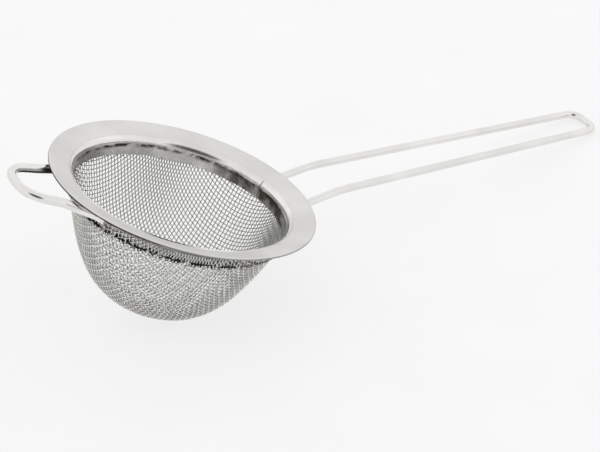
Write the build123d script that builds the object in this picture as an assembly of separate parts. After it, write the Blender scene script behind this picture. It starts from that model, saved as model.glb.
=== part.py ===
from build123d import *
import math
import os

# Tea strainer: a wire-cloth bowl hung in a stamped steel rim, with a long wire handle on one side
# and a short wire ear on the other that rests on the far edge of a cup or pot.
# Everything is drawn level, with the rim's top at z = 0 and the handle towards +X, and then
# tipped into the pose in which the empty strainer stands on a table: bowl and handle tip down.

# ---- driving dimensions, mm and degrees ----
RIM_RADIUS = 40.0          # outer edge of the flange
SHEET = 0.4                # thickness of the stamped rim
FLANGE_SLOPE = 15.5        # the flange falls inwards by this angle
EDGE_RADIUS = 0.5          # rounding of the turned-down outer edge
EDGE_DROP = 0.1            # straight part of the turned-down edge below its rounding
NECK_RADIUS = 32.2         # inside of the neck that the cloth hangs from
NECK_BEND = 2.3            # rounding from flange to neck, on the upper face
NECK_BOTTOM = -7.4         # lower edge of the neck

RING_SHEET = 0.3           # thickness of the split ring inside the neck
RING_CURL = 58.0           # how far the ring's top edge curls over the rounding
SPLIT_ANGLE = 6.5          # where the ring's ends meet, counted from the handle
SPLIT_GAP = 0.35

CLOTH = 0.4                # thickness of the wire cloth
BOWL_DEPTH = 32.1          # from the fold under the neck to the bottom of the bowl
BOWL_TAPER = 22.5          # the wall leaves the neck leaning inwards by this angle
BOWL_SIDE = 16.0           # how far the wall keeps that lean: the curve's handle at the neck
BOWL_FLAT = 22.5           # how wide the bottom stays flat: the curve's handle at the bottom
HEM_TOP = -4.4             # how high the folded edge of the cloth reaches outside the neck

HANDLE_WIRE = 1.2          # wire radius
HANDLE_TIP = 157.2         # wire centre at the far end of the loop
HANDLE_TIP_Z = 18.2
HANDLE_TIP_HALF_WIDTH = 5.45
HANDLE_TIP_BEND = 3.8
HANDLE_CRANK = (52.8, 7.5, 0.7)
HANDLE_CRANK_BEND = 45.0
HANDLE_FOOT_Z = -6.1
HANDLE_FOOT = (13.0, 27.0)   # the angles between which a foot lies along the neck

EAR_WIRE = 1.3             # wire radius
EAR_DIRECTION = 170.5      # the ear stands a little off the handle's line
EAR_TIP = 52.8             # wire centre at the end of the ear
EAR_TIP_Z = -1.0
EAR_TIP_HALF_WIDTH = 8.0
EAR_TIP_BEND = 7.6
EAR_SHOULDER = (41.6, 9.5, -2.0)
EAR_SHOULDER_BEND = 10.0
EAR_FOOT_Z = -3.7
EAR_FOOT = (22.5, 28.0)
FOOT_BEND = 2.6

WELD_RADIUS = 1.0
WELD_DEPTH = 0.3            # how far a bead's centre stands out from the hem
WELD_SHIFT = 1.2            # and how far above or below its wire's centre
OUTLINE_SAMPLES = 400      # points of the bowl's outline tried as the one it stands on

# ---- worked out from them ----
NECK_OUTSIDE = NECK_RADIUS + SHEET
HEM_RADIUS = NECK_OUTSIDE + CLOTH
CLOTH_TOP = NECK_BOTTOM - CLOTH
slope = math.radians(FLANGE_SLOPE)
along = (math.cos(slope), math.sin(slope))
normal = (-math.sin(slope), math.cos(slope))
edge_centre = (RIM_RADIUS - EDGE_RADIUS, -EDGE_RADIUS)
bend_x = NECK_RADIUS + NECK_BEND
flange_run = (edge_centre[0] - bend_x - (NECK_BEND - EDGE_RADIUS) * normal[0]) / along[0]
bend_centre = (bend_x, edge_centre[1] - (NECK_BEND - EDGE_RADIUS) * normal[1] - flange_run * along[1])


def around(centre, radius, degrees):
    """The point of a circle in the profile plane, X outwards and Z up."""
    angle = math.radians(degrees)
    return (centre[0] + radius * math.cos(angle), centre[1] + radius * math.sin(angle))


def polar(radius, degrees, z):
    return (radius * math.cos(math.radians(degrees)), radius * math.sin(math.radians(degrees)), z)


def arc(centre, radius, start, end):
    """A profile arc through its start, middle and end angle."""
    return ThreePointArc(*(around(centre, radius, a) for a in (start, (start + end) / 2, end)))


def turned(lines, degrees=360.0):
    """Revolve a closed profile, drawn as X outwards and Y up, about the bowl's axis."""
    profile = Plane.XZ * make_face(Curve() + lines)
    return revolve(profile, Axis.Z, degrees)


def rim_flange():
    flat = 90.0 + FLANGE_SLOPE
    inner, outer = NECK_BEND - SHEET, EDGE_RADIUS - SHEET
    lip_z = edge_centre[1] - EDGE_DROP
    upper = [
        Line((NECK_RADIUS, NECK_BOTTOM), (NECK_RADIUS, bend_centre[1])),
        arc(bend_centre, NECK_BEND, 180, flat),
        Line(around(bend_centre, NECK_BEND, flat), around(edge_centre, EDGE_RADIUS, flat)),
        arc(edge_centre, EDGE_RADIUS, flat, 0),
        Line((RIM_RADIUS, edge_centre[1]), (RIM_RADIUS, lip_z)),
    ]
    lower = [
        Line((RIM_RADIUS, lip_z), (RIM_RADIUS - SHEET, lip_z)),
        Line((RIM_RADIUS - SHEET, lip_z), (RIM_RADIUS - SHEET, edge_centre[1])),
        arc(edge_centre, outer, 0, flat),
        Line(around(edge_centre, outer, flat), around(bend_centre, inner, flat)),
        arc(bend_centre, inner, flat, 180),
        Line((NECK_OUTSIDE, bend_centre[1]), (NECK_OUTSIDE, NECK_BOTTOM)),
        Line((NECK_OUTSIDE, NECK_BOTTOM), (NECK_RADIUS, NECK_BOTTOM)),
    ]
    return turned(upper + lower)


def retaining_ring():
    """A strip rolled into a ring inside the neck, its top edge curled over the rounding."""
    end = 180.0 - RING_CURL
    inside = NECK_RADIUS - RING_SHEET
    outer_bend = NECK_BEND + RING_SHEET
    lines = [
        Line((inside, NECK_BOTTOM), (inside, bend_centre[1])),
        arc(bend_centre, outer_bend, 180, end),
        Line(around(bend_centre, outer_bend, end), around(bend_centre, NECK_BEND, end)),
        arc(bend_centre, NECK_BEND, end, 180),
        Line((NECK_RADIUS, bend_centre[1]), (NECK_RADIUS, NECK_BOTTOM)),
        Line((NECK_RADIUS, NECK_BOTTOM), (inside, NECK_BOTTOM)),
    ]
    split = Pos(NECK_RADIUS, 0, 0) * Box(RIM_RADIUS / 2, SPLIT_GAP, RIM_RADIUS)
    return turned(lines) - Rot(0, 0, SPLIT_ANGLE) * split


def bowl_curve(inset):
    """Control points of the bowl's rounded outline, from the neck down to its middle."""
    lean = math.radians(BOWL_TAPER)
    top = (NECK_RADIUS - inset, CLOTH_TOP)
    bottom_z = CLOTH_TOP - BOWL_DEPTH + inset
    side = (top[0] - BOWL_SIDE * math.sin(lean), top[1] - BOWL_SIDE * math.cos(lean))
    return [top, side, (BOWL_FLAT, bottom_z), (0.0, bottom_z)]


def mesh_bowl():
    """The cloth bowl as a closed shell, its edge folded under and up outside the neck."""
    outside, inside = bowl_curve(0.0), bowl_curve(CLOTH)
    lines = [
        Bezier(*inside),
        Line(inside[-1], outside[-1]),
        Bezier(*outside),
        Polyline(outside[0], (HEM_RADIUS, CLOTH_TOP), (HEM_RADIUS, HEM_TOP), (NECK_OUTSIDE, HEM_TOP),
                 (NECK_OUTSIDE, NECK_BOTTOM), (NECK_RADIUS - CLOTH, NECK_BOTTOM), inside[0]),
    ]
    return turned(lines)


def wire(points, bends, radius):
    """Round wire along straight runs joined by arcs."""
    path = FilletPolyline(*points, radius=bends)
    section = Plane(origin=path @ 0, z_dir=path % 0) * Circle(radius)
    return sweep(section, path)


def mirrored(half):
    """A half loop, from foot to tip, followed by its mirror image back to the other foot."""
    return half + [(x, -y, z) for x, y, z in reversed(half)]


def foot(angles, wire_radius, z):
    """The two ends of a foot that lies along the outside of the hem, touching it midway."""
    reach = (HEM_RADIUS + wire_radius) / math.cos(math.radians(angles[1] - angles[0]) / 2)
    return [polar(reach, angles[1], z), polar(reach, angles[0], z)]


def handle_wire():
    half = foot(HANDLE_FOOT, HANDLE_WIRE, HANDLE_FOOT_Z)
    half += [HANDLE_CRANK, (HANDLE_TIP, HANDLE_TIP_HALF_WIDTH, HANDLE_TIP_Z)]
    bends = [FOOT_BEND, HANDLE_CRANK_BEND, HANDLE_TIP_BEND]
    return wire(mirrored(half), bends + bends[::-1], HANDLE_WIRE)


def rest_ear():
    half = foot(EAR_FOOT, EAR_WIRE, EAR_FOOT_Z)
    half += [EAR_SHOULDER, (EAR_TIP, EAR_TIP_HALF_WIDTH, EAR_TIP_Z)]
    bends = [FOOT_BEND, EAR_SHOULDER_BEND, EAR_TIP_BEND]
    loop = wire(mirrored(half), bends + bends[::-1], EAR_WIRE)
    return Rot(0, 0, EAR_DIRECTION) * loop


def weld(degrees, z, wire_solid, others):
    """A bead in the crease between a foot and the hem, shaped by the faces it joins."""
    bead = Pos(*polar(HEM_RADIUS + WELD_DEPTH, degrees, z)) * Sphere(WELD_RADIUS)
    bead = bead - wire_solid
    for other in others:
        bead = bead - other
    return max(bead.solids(), key=lambda solid: solid.volume)


def rest_tilt():
    """The angle at which the bowl and the handle's tip touch the table together."""
    curve = Bezier(*bowl_curve(0.0))
    outline = [curve @ (step / OUTLINE_SAMPLES) for step in range(OUTLINE_SAMPLES + 1)]
    low, high = math.radians(5), math.radians(40)
    for _ in range(40):
        tilt = (low + high) / 2
        bowl = min(point.Y * math.cos(tilt) - point.X * math.sin(tilt) for point in outline)
        tip = HANDLE_TIP_Z * math.cos(tilt) - HANDLE_TIP * math.sin(tilt) - HANDLE_WIRE
        if tip > bowl:
            low = tilt
        else:
            high = tilt
    return math.degrees(tilt)


def build():
    flange, ring, bowl = rim_flange(), retaining_ring(), mesh_bowl()
    handle, ear = handle_wire(), rest_ear()
    parts = {"rim_flange": flange, "retaining_ring": ring, "mesh_bowl": bowl,
             "handle_wire": handle, "rest_ear": ear}
    sides = {"left": 1, "right": -1}
    for side, sign in sides.items():
        at = sign * sum(HANDLE_FOOT) / 2
        parts["handle_weld_" + side] = weld(at, HANDLE_FOOT_Z + WELD_SHIFT, handle, [flange, bowl])
        at = EAR_DIRECTION + sign * sum(EAR_FOOT) / 2
        parts["ear_weld_" + side] = weld(at, EAR_FOOT_Z - WELD_SHIFT, ear, [flange, bowl])
    return parts


def placed(parts):
    """Tip the level strainer into its rest pose, with the origin under the middle of its box."""
    tipped = {name: Rot(0, rest_tilt(), 0) * shape for name, shape in parts.items()}
    box = Compound(children=[Compound(shape.solids()) for shape in tipped.values()]).bounding_box()
    shift = Pos(-(box.min.X + box.max.X) / 2, -(box.min.Y + box.max.Y) / 2, -box.min.Z)
    return {name: shift * shape for name, shape in tipped.items()}


os.makedirs("parts", exist_ok=True)
for node, shape in placed(build()).items():
    export_step(shape, f"parts/{node}.step")
print("rest tilt", round(rest_tilt(), 3))
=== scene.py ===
import math

import bpy
import numpy as np
from mathutils import Matrix, Vector, noise


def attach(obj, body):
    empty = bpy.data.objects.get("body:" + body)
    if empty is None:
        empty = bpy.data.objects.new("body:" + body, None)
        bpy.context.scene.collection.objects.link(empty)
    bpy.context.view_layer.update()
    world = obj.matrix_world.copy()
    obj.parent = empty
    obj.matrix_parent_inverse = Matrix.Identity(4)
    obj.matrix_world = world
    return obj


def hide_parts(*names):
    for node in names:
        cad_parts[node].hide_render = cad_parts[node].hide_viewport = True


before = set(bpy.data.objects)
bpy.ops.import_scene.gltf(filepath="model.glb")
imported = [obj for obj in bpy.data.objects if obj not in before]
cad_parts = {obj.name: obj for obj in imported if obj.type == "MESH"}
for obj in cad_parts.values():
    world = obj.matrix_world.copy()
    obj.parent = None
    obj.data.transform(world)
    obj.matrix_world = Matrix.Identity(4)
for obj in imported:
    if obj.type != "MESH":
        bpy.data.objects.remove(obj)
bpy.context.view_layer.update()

# Tea strainer: the CAD model's steel parts, with their finishes and painted shade, and its wire cloth woven
# wire by wire. All lengths are in metres. "Level" means the strainer with its rim flat at z = 0, its
# bowl's axis along Z and its handle towards +X, before it is tipped to stand on the table.
# The ear is then towards -X, and the side nearest the camera towards -Y.

MM = 0.001

# ---- the cloth ----
PITCH = 1.25 * MM            # from one wire to the next
WIRE_RADIUS = 0.155 * MM
CLOTH_TURN = math.radians(17)    # how far the cloth's wires are turned from the handle's line
CLOTH_SAG = 0.12 * MM        # small waves left in the pressed cloth
SIDES = 6                    # corners of a wire's section
STEPS = 4                    # lengths of wire between two crossings
NUDGE = 1e-6                 # a trial step along the cloth

# ---- the bowl's outline, level, as the CAD model has it: the middle of the cloth ----
BOWL_RADIUS = 31.95 * MM     # where the cloth leaves the neck
BOWL_TOP = -7.8 * MM
BOWL_DEPTH = 31.9 * MM
BOWL_TAPER = math.radians(22.5)
BOWL_SIDE = 16.0 * MM
BOWL_FLAT = 22.4 * MM
HEM_RADIUS = 32.95 * MM      # the cloth's folded edge, outside the neck
HEM_BOTTOM = -7.0 * MM
HEM_TOP = -4.4 * MM

# ---- the flange, level, and where shade is painted on it and on the ear ----
NECK_OUTSIDE = 32.5 * MM     # just inside the neck's outer face
LIP_RADIUS = 39.5 * MM       # the turned-down lip begins here
RIM_RADIUS = 40.0 * MM
RIM_EDGE = -0.8 * MM         # just under the lip
UNDERSIDE = (-0.3, -0.5, -0.81)    # down, and a little towards the ear and the camera

# ---- colours of painted shade, darkest last, and its roughness ----
INSIDE_SHADE = (0.50, 0.495, 0.48)
CREASE_SHADE = (0.15, 0.147, 0.14)
BAND_DARK_REFLECTION = (0.065, 0.056, 0.044)
BEND_SHADE_LINE = (0.05, 0.044, 0.035)
NECK_SHADE = (0.04, 0.037, 0.033)
UNDERSIDE_SHADE = (0.03, 0.027, 0.024)
LIP_SHADOW = (0.02, 0.018, 0.016)
FOLD_SHADOW = (0.015, 0.014, 0.013)
CREVICE_SHADE = (0.012, 0.011, 0.010)
DULL = 0.6

# ---- camera and studio ----
TABLE_HALF = 3.0
TABLE_GLOW = 0.66            # light the table gives off by itself
TENT_LIGHT = 1.04
CAMERA_PLACE = Vector((-0.27225, -0.4578, 0.40254))    # from the rim's centre
CAMERA_AIM = Vector((0.01725, -0.0341, 0.0))
CAMERA_ROLL = math.radians(0.12)
CAMERA_LENS = 138.9          # mm, on a sensor 36 mm wide


# ---------------------------------------------------------------- the level frame

def level_frame():
    """The matrix that takes a level point to its place on the standing strainer.

    The flange is a turned part, so the thin direction of its surface is the bowl's axis."""
    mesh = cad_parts["rim_flange"].data
    mesh.calc_loop_triangles()
    points = np.array([v.co for v in mesh.vertices])
    middles = points[np.array([t.vertices for t in mesh.loop_triangles])].mean(axis=1)
    areas = np.array([t.area for t in mesh.loop_triangles])
    centre = np.average(middles, axis=0, weights=areas)
    directions = np.linalg.eigh(np.cov((middles - centre).T, aweights=areas))[1]
    up = Vector(directions[:, 0] * np.sign(directions[2, 0]))
    rim_height = ((points - centre) @ np.array(up)).max()
    across = Vector((0, 0, 1)).cross(Vector((1, 0, 0)))
    ahead = across.cross(up).normalized()
    turned = Matrix((ahead, up.cross(ahead), up)).transposed()
    return Matrix.Translation(Vector(centre) + up * rim_height) @ turned.to_4x4()


LEVEL = level_frame()


# ---------------------------------------------------------------- the woven cloth

def bezier(a, b, c, d, count):
    """Points of a cubic curve."""
    t = np.linspace(0, 1, count)[:, None]
    a, b, c, d = (np.array(p) for p in (a, b, c, d))
    return (1 - t) ** 3 * a + 3 * (1 - t) ** 2 * t * b + 3 * (1 - t) * t * t * c + t ** 3 * d


def cloth_outline():
    """Radius and height along the cloth's middle, from the bowl's bottom to the hem's edge."""
    bottom = BOWL_TOP - BOWL_DEPTH
    side = (BOWL_RADIUS - BOWL_SIDE * math.sin(BOWL_TAPER), BOWL_TOP - BOWL_SIDE * math.cos(BOWL_TAPER))
    bowl = bezier((0, bottom), (BOWL_FLAT, bottom), side, (BOWL_RADIUS, BOWL_TOP), 3000)
    fold = bezier((BOWL_RADIUS, BOWL_TOP), (BOWL_RADIUS + 0.2 * MM, BOWL_TOP + 0.5 * MM),
                  (HEM_RADIUS, HEM_BOTTOM - 0.7 * MM), (HEM_RADIUS, HEM_BOTTOM), 200)
    hem = np.array([(HEM_RADIUS, HEM_BOTTOM), (HEM_RADIUS, HEM_TOP)])
    return np.vstack([bowl, fold[1:], hem[1:]])


OUTLINE = cloth_outline()
ALONG = np.concatenate([[0], np.cumsum(np.hypot(*np.diff(OUTLINE, axis=0).T))])
REACH = ALONG[-1]


def on_cloth(u, v):
    """The level point that lies hypot(u, v) along the cloth from the bowl's bottom."""
    s = np.hypot(u, v)
    angle = np.arctan2(v, u)
    r, z = np.interp(s, ALONG, OUTLINE[:, 0]), np.interp(s, ALONG, OUTLINE[:, 1])
    return np.stack([r * np.cos(angle), r * np.sin(angle), z], axis=-1)


def cloth_normal(u, v):
    """The cloth's outward direction at that point."""
    s = np.hypot(u, v)
    angle = np.arctan2(v, u)
    step = 0.15 * MM
    dr = np.interp(s + step, ALONG, OUTLINE[:, 0]) - np.interp(s - step, ALONG, OUTLINE[:, 0])
    dz = np.interp(s + step, ALONG, OUTLINE[:, 1]) - np.interp(s - step, ALONG, OUTLINE[:, 1])
    size = np.hypot(dr, dz)
    return np.stack([dz / size * np.cos(angle), dz / size * np.sin(angle), -dr / size], axis=-1)


def next_crossing(left, below, before):
    """Where two wires cross: one pitch from each of the crossings next to it."""
    ends = [on_cloth(*left), on_cloth(*below)]
    place = left + below - before
    for _ in range(6):
        here = on_cloth(*place)
        miss = np.array([(here - e) @ (here - e) - PITCH ** 2 for e in ends])
        slope = np.empty((2, 2))
        for k, nudge in enumerate(np.eye(2) * NUDGE):
            near = on_cloth(*(place + nudge))
            slope[:, k] = [((near - e) @ (near - e) - PITCH ** 2 - m) / NUDGE for e, m in zip(ends, miss)]
        place = place - np.clip(np.linalg.solve(slope, miss), -PITCH, PITCH)
    return place


def crossings():
    """A quarter of the cloth: where wire i crosses wire j, as distances along the cloth.

    Flat square cloth pressed into a bowl keeps the length of its wires, and its squares lean."""
    count = int(REACH / PITCH) + 1
    grid = np.full((count, count, 2), np.nan)
    for i in range(count):
        grid[i, 0] = (i * PITCH, 0)
        grid[0, i] = (0, i * PITCH)
    for i in range(1, count):
        for j in range(1, count):
            place = next_crossing(grid[i - 1, j], grid[i, j - 1], grid[i - 1, j - 1])
            if np.isfinite(place).all() and np.hypot(*place) < REACH:
                grid[i, j] = place
    return grid


def wire_route(i, js, quarter, swap):
    """The crossings along wire i, and their numbers, out to the hem's edge at both ends."""
    route = []
    for j in js:
        a, b = (abs(j), abs(i)) if swap else (abs(i), abs(j))
        if max(a, b) >= len(quarter) or not np.isfinite(quarter[a, b, 0]):
            continue
        u, v = quarter[a, b]
        sign_u, sign_v = (np.sign(j), np.sign(i)) if swap else (np.sign(i), np.sign(j))
        route.append((j, u * (sign_u or 1), v * (sign_v or 1)))
    return route


def wire_path(route, parity):
    """Points along one wire: over and under the wires it crosses, cut off at the hem's edge."""
    numbers = np.array([r[0] for r in route], float)
    places = np.array([r[1:] for r in route])
    first, last = 2 * places[0] - places[1], 2 * places[-1] - places[-2]
    numbers = np.concatenate([[numbers[0] - 1], numbers, [numbers[-1] + 1]])
    places = np.vstack([first, places, last])
    fine = np.linspace(numbers[0], numbers[-1], STEPS * (len(numbers) - 1) + 1)
    u, v = (np.interp(fine, numbers, places[:, k]) for k in (0, 1))
    inside = np.hypot(u, v) <= REACH
    fine, u, v = fine[inside], u[inside], v[inside]
    lift = WIRE_RADIUS * np.cos(math.pi * fine) * (-1) ** parity
    waves = np.array([CLOTH_SAG * noise.noise(Vector((a, b, 0)) / (9 * MM)) for a, b in zip(u, v)])
    waves *= np.clip((REACH - 6 * MM - np.hypot(u, v)) / (8 * MM), 0, 1)
    normal = cloth_normal(u, v)
    return on_cloth(u, v) + normal * (lift + waves)[:, None], normal


def tube(path, normal, radius):
    """Corners of a wire's sections along its path, SIDES to a section."""
    along = np.gradient(path, axis=0)
    along /= np.linalg.norm(along, axis=1)[:, None]
    side = np.cross(along, normal)
    side /= np.linalg.norm(side, axis=1)[:, None]
    out = np.cross(side, along)
    turn = np.arange(SIDES) * 2 * math.pi / SIDES
    ring = np.cos(turn)[None, :, None] * out[:, None] + np.sin(turn)[None, :, None] * side[:, None]
    return (path[:, None] + radius * ring).reshape(-1, 3)


def tube_faces(start, sections):
    """Quads round a wire, and the two cut ends."""
    faces = []
    for k in range(sections - 1):
        for c in range(SIDES):
            a, b = start + k * SIDES + c, start + k * SIDES + (c + 1) % SIDES
            faces.append((a, b, b + SIDES, a + SIDES))
    faces.append(tuple(start + c for c in reversed(range(SIDES))))
    faces.append(tuple(start + (sections - 1) * SIDES + c for c in range(SIDES)))
    return faces


def to_rest(points):
    """Level points as they stand on the table."""
    turn = np.array(LEVEL.to_3x3())
    return points @ turn.T + np.array(LEVEL.translation)


def mesh_piece(name, points, faces, material, slot, *replaced):
    """A piece of wires; "facing" on it runs from -1 on the bowl's inside to 1 on its outside."""
    mesh = bpy.data.meshes.new(name)
    mesh.from_pydata([tuple(p) for p in points], [], faces)
    facing = np.tile(np.cos(np.arange(SIDES) * 2 * math.pi / SIDES), len(points) // SIDES)
    mesh.attributes.new("facing", "FLOAT", "POINT").data.foreach_set("value", facing.astype("f"))
    mesh.shade_smooth()
    mesh.materials.append(material)
    piece = bpy.data.objects.new(name, mesh)
    bpy.context.scene.collection.objects.link(piece)
    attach(piece, "root")
    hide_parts(*replaced)


def weave(material):
    """The cloth, as four pieces: each way's wires, on each side of the middle one."""
    quarter = crossings()
    reach = len(quarter) - 1
    cos, sin = math.cos(CLOTH_TURN), math.sin(CLOTH_TURN)
    spin = np.array([(cos, -sin, 0), (sin, cos, 0), (0, 0, 1)])
    for way, swap in (("warp", False), ("weft", True)):
        for half, numbers in (("near", range(-reach, 0)), ("far", range(0, reach + 1))):
            points, faces, count = [], [], 0
            for i in numbers:
                route = wire_route(i, range(-reach, reach + 1), quarter, swap)
                if len(route) < 2:
                    continue
                path, normal = wire_path(route, i + swap)
                points.append(tube(path @ spin.T, normal @ spin.T, WIRE_RADIUS))
                faces += tube_faces(count, len(path))
                count += len(path) * SIDES
            mesh_piece(f"cloth_{way}_{half}", to_rest(np.vstack(points)), faces, material,
                       "wire_cloth", "mesh_bowl")


# ---------------------------------------------------------------- shader nodes

def nodes_of(name):
    """A new material, its node tree and its shader."""
    material = bpy.data.materials.new(name)
    material.use_nodes = True
    tree = material.node_tree
    return material, tree, tree.nodes["Principled BSDF"]


def linked(tree, kind, inputs=None, **settings):
    """A new node, with its settings, and its inputs set or linked."""
    node = tree.nodes.new(kind)
    for key, value in settings.items():
        setattr(node, key, value)
    for key, value in (inputs or {}).items():
        if isinstance(value, bpy.types.NodeSocket):
            tree.links.new(value, node.inputs[key])
        else:
            node.inputs[key].default_value = value
    return node


def ramp(tree, factor, stops):
    """A colour ramp through stops of a place and a colour."""
    node = linked(tree, "ShaderNodeValToRGB", {"Fac": factor})
    for spare in list(node.color_ramp.elements)[1:]:
        node.color_ramp.elements.remove(spare)
    for k, (place, colour) in enumerate(stops):
        stop = node.color_ramp.elements[0] if k == 0 else node.color_ramp.elements.new(place)
        stop.position = place
        stop.color = (*colour, 1)
    return node.outputs["Color"]


def grey(level):
    """A colour without hue."""
    return (level, level, level)


def maths(tree, operation, *values):
    """One Math node on numbers or sockets."""
    return linked(tree, "ShaderNodeMath", dict(enumerate(values)), operation=operation).outputs[0]


def product(tree, *masks):
    """All the masks multiplied together."""
    whole = masks[0]
    for mask in masks[1:]:
        whole = maths(tree, "MULTIPLY", whole, mask)
    return whole


def smooth(tree, value, low, high):
    """0 at low, 1 at high, and soft between; low may be the larger."""
    node = linked(tree, "ShaderNodeMapRange", {
        "Value": value, "From Min": low, "From Max": high}, interpolation_type="SMOOTHSTEP")
    return node.outputs["Result"]


def cloudy(tree, place, scale, detail):
    """A noise texture's value."""
    node = linked(tree, "ShaderNodeTexNoise", {"Vector": place, "Scale": scale, "Detail": detail})
    return node.outputs["Fac"]


def object_place(tree):
    """A point's place in the frame."""
    return linked(tree, "ShaderNodeTexCoord").outputs["Object"]


def level_place(tree):
    """A point's place on the level strainer, and that place's X, Y, radius and Z."""
    back = LEVEL.inverted()
    place = linked(tree, "ShaderNodeMapping", {
        "Vector": object_place(tree), "Location": back.translation,
        "Rotation": back.to_euler()}).outputs["Vector"]
    x, y, z = linked(tree, "ShaderNodeSeparateXYZ", {"Vector": place}).outputs
    radius = maths(tree, "SQRT", maths(tree, "MULTIPLY_ADD", x, x, maths(tree, "MULTIPLY", y, y)))
    return place, x, y, radius, z


def turned_place(tree, around, out):
    """Coordinates that stretch a grain round a turned part: its angle, radius and height."""
    _, x, y, radius, z = level_place(tree)
    angle = maths(tree, "ARCTAN2", y, x)
    flat = linked(tree, "ShaderNodeCombineXYZ", {"X": angle, "Y": radius, "Z": z})
    scaled = linked(tree, "ShaderNodeVectorMath", {0: flat.outputs[0], 1: (around, out, out)},
                    operation="MULTIPLY")
    return scaled.outputs["Vector"]


# ---------------------------------------------------------------- materials

def steel(name, light, dark, roughness, bump, grain=None, clouds=90):
    """Steel whose colour varies in soft clouds, and its gloss and surface with a fine grain."""
    material, tree, shader = nodes_of(name)
    place = object_place(tree)
    if grain:
        fine = cloudy(tree, turned_place(tree, *grain), 1, 5)
    else:
        fine = cloudy(tree, place, 2600, 3)
    colour = ramp(tree, cloudy(tree, place, clouds, 4), [(0.35, dark), (0.65, light)])
    gloss = linked(tree, "ShaderNodeMapRange", {
        "Value": fine, "From Min": 0.3, "From Max": 0.7, "To Min": roughness[0], "To Max": roughness[1]})
    rise = linked(tree, "ShaderNodeBump", {"Height": fine, "Strength": bump, "Distance": 0.05 * MM})
    shader.inputs["Metallic"].default_value = 1.0
    tree.links.new(colour, shader.inputs["Base Color"])
    tree.links.new(gloss.outputs["Result"], shader.inputs["Roughness"])
    tree.links.new(rise.outputs["Normal"], shader.inputs["Normal"])
    return material


def paint_shade(material, mask, colour, rough=None):
    """Paint shade: take a part's colour, and its roughness, to another where the mask is 1."""
    tree = material.node_tree
    shader = tree.nodes["Principled BSDF"]
    unshaded = shader.inputs["Base Color"].links[0].from_socket
    mix = linked(tree, "ShaderNodeMix", {0: mask, 6: unshaded, 7: (*colour, 1)}, data_type="RGBA")
    tree.links.new(mix.outputs[2], shader.inputs["Base Color"])
    if rough is not None:
        gloss = shader.inputs["Roughness"].links[0].from_socket
        mix = linked(tree, "ShaderNodeMix", {0: mask, 2: gloss, 3: rough}, data_type="FLOAT")
        tree.links.new(mix.outputs[0], shader.inputs["Roughness"])


def cloth_steel():
    """Cloth wire: bright outside, with painted shade on its wires' flanks and on their sides facing into the
    bowl, and painted shadow in the fold.
    """
    material = steel("wire_cloth", (0.91, 0.90, 0.87), (0.73, 0.72, 0.69), (0.22, 0.36), 0.2, clouds=300)
    tree = material.node_tree
    facing = linked(tree, "ShaderNodeAttribute", attribute_name="facing").outputs["Fac"]
    # painted shade: each wire's flanks, which face along the cloth, darkened as if shaded in the crevices at
    # the crossings
    paint_shade(material, smooth(tree, facing, 0.75, 0.05), CREASE_SHADE)
    # painted shade: the side of each wire that faces into the bowl, darker than the side that faces out
    paint_shade(material, smooth(tree, facing, -0.05, -0.5), INSIDE_SHADE)
    place, x, _, radius, z = level_place(tree)
    by_the_ear = maths(tree, "MULTIPLY_ADD", smooth(tree, x, 10 * MM, -6 * MM), 0.6, 0.4)
    # painted shadow: dark patches on the cloth in and just below its fold, more by the ear, where the hem
    # shades it
    fold = product(
        tree, smooth(tree, z, -9.1 * MM, -8.5 * MM), smooth(tree, z, -6.2 * MM, -6.8 * MM),
        smooth(tree, cloudy(tree, place, 600, 1), 0.42, 0.48),
        smooth(tree, radius, 31.4 * MM, 32.0 * MM), by_the_ear)
    paint_shade(material, fold, FOLD_SHADOW, DULL)
    return material


def flange_steel():
    """Satin steel, with painted shade on the neck behind the hem and by the fold, and a painted shadow along
    the lip's lower edge.
    """
    material = steel("satin_steel", (0.74, 0.73, 0.715), (0.67, 0.66, 0.645), (0.30, 0.42), 0.25,
                     grain=(6, 9000))
    tree = material.node_tree
    place, x, _, radius, z = level_place(tree)
    neck = smooth(tree, radius, NECK_OUTSIDE - 0.15 * MM, NECK_OUTSIDE)
    patches = maths(tree, "MULTIPLY_ADD", smooth(tree, cloudy(tree, place, 350, 2), 0.40, 0.60), 0.4, 0.6)
    by_the_handle = maths(tree, "MULTIPLY_ADD", smooth(tree, x, -24 * MM, -2 * MM), 0.45, 0.4)
    # painted shade: the neck's outer face darkened behind the hem and by the fold, where hem and flange
    # shade it
    behind_hem = product(tree, neck, smooth(tree, z, -3.9 * MM, -4.3 * MM), patches, by_the_handle)
    by_the_ear = maths(tree, "MULTIPLY_ADD", smooth(tree, x, 6 * MM, -8 * MM), 0.65, 0.35)
    by_the_fold = product(tree, neck, smooth(tree, z, -5.5 * MM, -6.3 * MM),
                          smooth(tree, cloudy(tree, place, 600, 1), 0.38, 0.48), by_the_ear)
    paint_shade(material, maths(tree, "MAXIMUM", behind_hem, by_the_fold), NECK_SHADE, DULL)
    at_the_ear = maths(tree, "MULTIPLY_ADD", smooth(tree, x, -22 * MM, -32 * MM), 0.45, 0.55)
    # painted shadow: a dark line along the lower edge of the flange's lip, more towards the ear
    lip = product(tree, smooth(tree, radius, LIP_RADIUS - 0.3 * MM, LIP_RADIUS),
                  smooth(tree, z, -0.15 * MM, -0.38 * MM), at_the_ear)
    paint_shade(material, lip, LIP_SHADOW, DULL)
    return material


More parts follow.
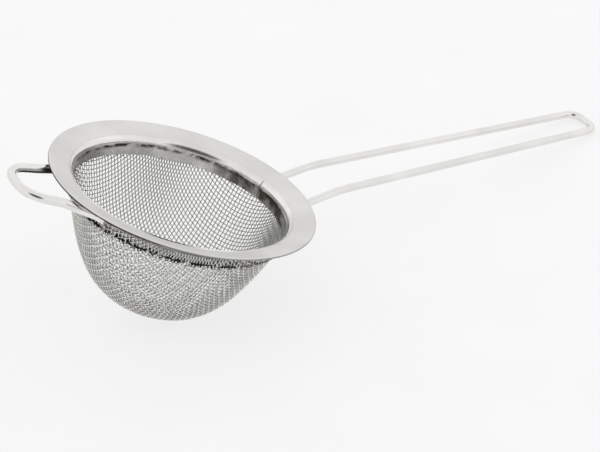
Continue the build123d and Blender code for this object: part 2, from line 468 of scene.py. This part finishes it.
def ring_steel():
    """Polished steel, with a painted dark reflection along its upright band, more towards its ends, and a
    painted shade line at its bend.
    """
    material = steel("ring_steel", (0.84, 0.83, 0.805), (0.72, 0.71, 0.685), (0.12, 0.26), 0.35,
                     grain=(9, 5000))
    tree = material.node_tree
    place, x, _, _, z = level_place(tree)
    # painted dark reflection: the ring's upright band darkened below its bend, more towards its ends
    ends = smooth(tree, maths(tree, "ABSOLUTE", x), 22 * MM, 31 * MM)
    band = product(tree, smooth(tree, z, -3.6 * MM, -4.3 * MM), maths(tree, "MULTIPLY_ADD", ends, 0.68, 0.3),
                   smooth(tree, cloudy(tree, place, 160, 4), 0.3, 0.6))
    paint_shade(material, band, BAND_DARK_REFLECTION, 0.4)
    # painted shade: a thin dark line round the ring at its bend
    line = product(tree, smooth(tree, z, -5.2 * MM, -4.2 * MM), smooth(tree, z, -3.3 * MM, -3.9 * MM),
                   smooth(tree, cloudy(tree, place, 420, 2), 0.34, 0.62))
    paint_shade(material, line, BEND_SHADE_LINE, 0.5)
    return material


def bright_steel(name):
    """Drawn wire, as the handle and the ear are made of."""
    return steel(name, (0.83, 0.82, 0.80), (0.75, 0.74, 0.72), (0.09, 0.17), 0.12)


def ear_steel():
    """Bright wire, with painted shade under the flange's edge, and painted shade along its far leg's
    underside.
    """
    material = bright_steel("ear_wire")
    tree = material.node_tree
    place, _, y, radius, z = level_place(tree)
    shade_wobble = cloudy(tree, place, 700, 3)
    # painted shade: the wire darkened where it passes close under the flange's edge, with a noisy boundary
    out = maths(tree, "SUBTRACT", radius, RIM_RADIUS)
    down = maths(tree, "SUBTRACT", z, RIM_EDGE)
    away = maths(tree, "SQRT", maths(tree, "MULTIPLY_ADD", out, out, maths(tree, "MULTIPLY", down, down)))
    away = maths(tree, "MULTIPLY_ADD", shade_wobble, 1.6 * MM, away)
    paint_shade(material, smooth(tree, away, 1.7 * MM, 1.0 * MM), CREVICE_SHADE, DULL)
    # painted shade and dark reflection: the far leg's downward-facing side darkened near the flange and in a
    # streak along it
    far_leg = smooth(tree, y, 0, 3 * MM)
    under = linked(tree, "ShaderNodeVectorMath", {
        0: linked(tree, "ShaderNodeTexCoord").outputs["Normal"], 1: UNDERSIDE},
        operation="DOT_PRODUCT").outputs["Value"]
    reach = maths(tree, "MULTIPLY_ADD", shade_wobble, 3 * MM, radius)
    wedge = product(tree, smooth(tree, reach, 45.5 * MM, 42 * MM), smooth(tree, under, -0.35, 0.0))
    streak = product(tree, smooth(tree, reach, 56 * MM, 50 * MM), smooth(tree, under, 0.45, 0.7))
    paint_shade(material, product(tree, far_leg, maths(tree, "MAXIMUM", wedge, streak)), UNDERSIDE_SHADE, DULL)
    return material


def finish_nodes():
    """Give each CAD part its finish."""
    weld = steel("weld_metal", (0.16, 0.15, 0.13), (0.05, 0.045, 0.04), (0.35, 0.55), 0.5, clouds=500)
    finishes = {"rim_flange": flange_steel(), "retaining_ring": ring_steel(),
                "handle_wire": bright_steel("bright_wire"), "rest_ear": ear_steel()}
    for name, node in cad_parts.items():
        node.data.materials.clear()
        node.data.materials.append(finishes.get(name, weld))


# ---------------------------------------------------------------- studio

def floor():
    """A light table: pale, and lit from below, so that shadows on it are soft."""
    mesh = bpy.data.meshes.new("floor")
    corners = [(x * TABLE_HALF, y * TABLE_HALF, 0) for x, y in ((-1, -1), (1, -1), (1, 1), (-1, 1))]
    mesh.from_pydata(corners, [], [(0, 1, 2, 3)])
    material, tree, shader = nodes_of("paper")
    mottle = cloudy(tree, object_place(tree), 30, 3)
    tree.links.new(ramp(tree, mottle, [(0.3, grey(0.32)), (0.7, grey(0.34))]), shader.inputs["Base Color"])
    shader.inputs["Emission Color"].default_value = (1, 1, 1, 1)
    shader.inputs["Emission Strength"].default_value = TABLE_GLOW
    shader.inputs["Roughness"].default_value = 0.9
    shader.inputs["Specular IOR Level"].default_value = 0.1
    mesh.materials.append(material)
    board = bpy.data.objects.new("floor", mesh)
    bpy.context.scene.collection.objects.link(board)


def studio():
    """A white tent, duller near the table, with the camera's dark hole in it."""
    world = bpy.data.worlds.new("studio")
    bpy.context.scene.world = world
    world.use_nodes = True
    tree = world.node_tree
    heading = linked(tree, "ShaderNodeTexCoord").outputs["Generated"]
    height = linked(tree, "ShaderNodeSeparateXYZ", {"Vector": heading}).outputs["Z"]
    tent = ramp(tree, height, [(0.0, grey(0.82)), (0.12, grey(0.88)), (0.30, grey(1.0)),
                               (0.55, grey(0.96)), (0.90, grey(0.88))])
    facing = linked(tree, "ShaderNodeVectorMath", {0: heading, 1: CAMERA_PLACE.normalized()},
                    operation="DOT_PRODUCT")
    hole = ramp(tree, facing.outputs["Value"], [(0.86, grey(1.0)), (0.94, grey(0.1))])
    tone = linked(tree, "ShaderNodeVectorMath", {0: tent, 1: hole}, operation="MULTIPLY")
    background = tree.nodes["Background"]
    tree.links.new(tone.outputs["Vector"], background.inputs["Color"])
    background.inputs["Strength"].default_value = TENT_LIGHT
    bpy.context.scene.view_settings.view_transform = "Standard"


def camera():
    """The photographer's place, lens and tilt."""
    data = bpy.data.cameras.new("camera")
    data.sensor_width = 36
    data.lens = CAMERA_LENS
    data.clip_start, data.clip_end = 0.01, 20
    eye = bpy.data.objects.new("camera", data)
    eye.location = LEVEL.translation + CAMERA_PLACE
    eye.rotation_euler = (CAMERA_AIM - CAMERA_PLACE).to_track_quat("-Z", "Y").to_euler()
    eye.rotation_euler.rotate_axis("Z", CAMERA_ROLL)
    bpy.context.scene.collection.objects.link(eye)
    bpy.context.scene.camera = eye


camera()
studio()
floor()
finish_nodes()
weave(cloth_steel())
